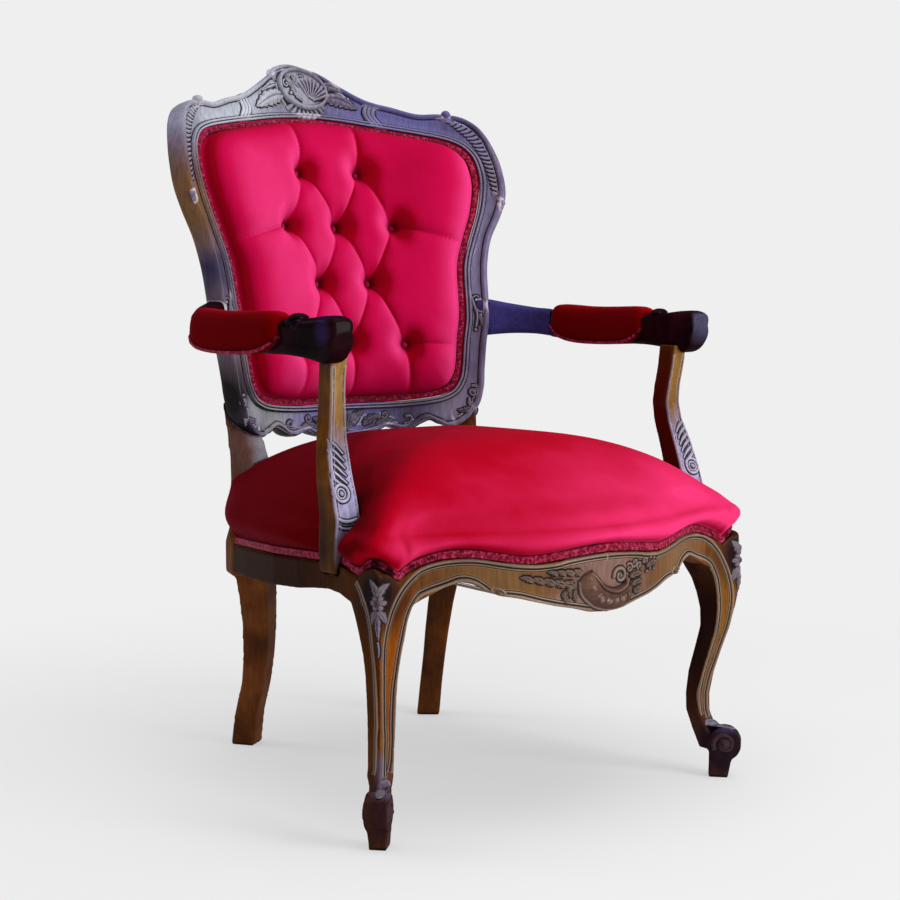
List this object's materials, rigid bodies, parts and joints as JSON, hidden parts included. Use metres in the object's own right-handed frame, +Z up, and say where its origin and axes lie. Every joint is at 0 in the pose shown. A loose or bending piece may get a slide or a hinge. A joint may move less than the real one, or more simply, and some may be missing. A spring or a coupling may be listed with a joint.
{
  "type": "fauteuil",
  "caption": "Open armchair with a carved, bowed wooden frame, cabriole front legs, padded arm rests, a crowned seat and a button-tufted velvet back.",
  "frame": {"origin": "middle of the footprint's bounding box, on the floor", "axes": "+Z up; the sitter faces -Y; +X is on the sitter's left"},
  "size_m": [0.6818, 0.8066, 1.028],
  "materials": {
    "walnut": "dark lacquered, polished",
    "beech": "unfinished",
    "velvet": "cut-pile velvet with a pink sheen",
    "braid": "woven gimp braid",
    "foam": "cut upholstery foam",
    "jute": "woven jute",
    "black_cloth": "thin black cloth",
    "steel": "plain wood screw"
  },
  "bodies": {
    "root": {"arm_left": "walnut", "arm_pad_cover_left": "velvet", "arm_pad_cover_right": "velvet", "arm_pad_foam_left": "foam", "arm_pad_foam_right": "foam", "arm_pad_gimp_left": "braid", "arm_pad_gimp_right": "braid", "arm_right": "walnut", "arm_support_left": "walnut", "arm_support_right": "walnut", "back_button_1": "velvet", "back_button_10": "velvet", "back_button_2": "velvet", "back_button_3": "velvet", "back_button_4": "velvet", "back_button_5": "velvet", "back_button_6": "velvet", "back_button_7": "velvet", "back_button_8": "velvet", "back_button_9": "velvet", "back_cover": "velvet", "back_foam": "foam", "back_gimp": "braid", "back_hessian": "jute", "back_lower_rail": "walnut", "back_strap_left": "jute", "back_strap_right": "jute", "crest_rail": "walnut", "dust_cover": "black_cloth", "front_block_screw_left": "steel", "front_block_screw_right": "steel", "front_corner_block_left": "beech", "front_corner_block_right": "beech", "front_leg_left": "walnut", "front_leg_right": "walnut", "front_seat_rail": "walnut", "outside_back_cover": "velvet", "outside_back_gimp": "braid", "rear_block_screw_left": "steel", "rear_block_screw_right": "steel", "rear_corner_block_left": "beech", "rear_corner_block_right": "beech", "rear_post_left": "walnut", "rear_post_right": "walnut", "rear_seat_rail": "walnut", "seat_cover": "velvet", "seat_foam": "foam", "seat_gimp_front": "braid", "seat_gimp_rear": "braid", "seat_gimp_side_left": "braid", "seat_gimp_side_right": "braid", "seat_hessian": "jute", "seat_strap_cross_front": "jute", "seat_strap_cross_rear": "jute", "seat_strap_middle": "jute", "seat_strap_side_left": "jute", "seat_strap_side_right": "jute", "side_seat_rail_left": "walnut", "side_seat_rail_right": "walnut"}
  },
  "joints": []
}
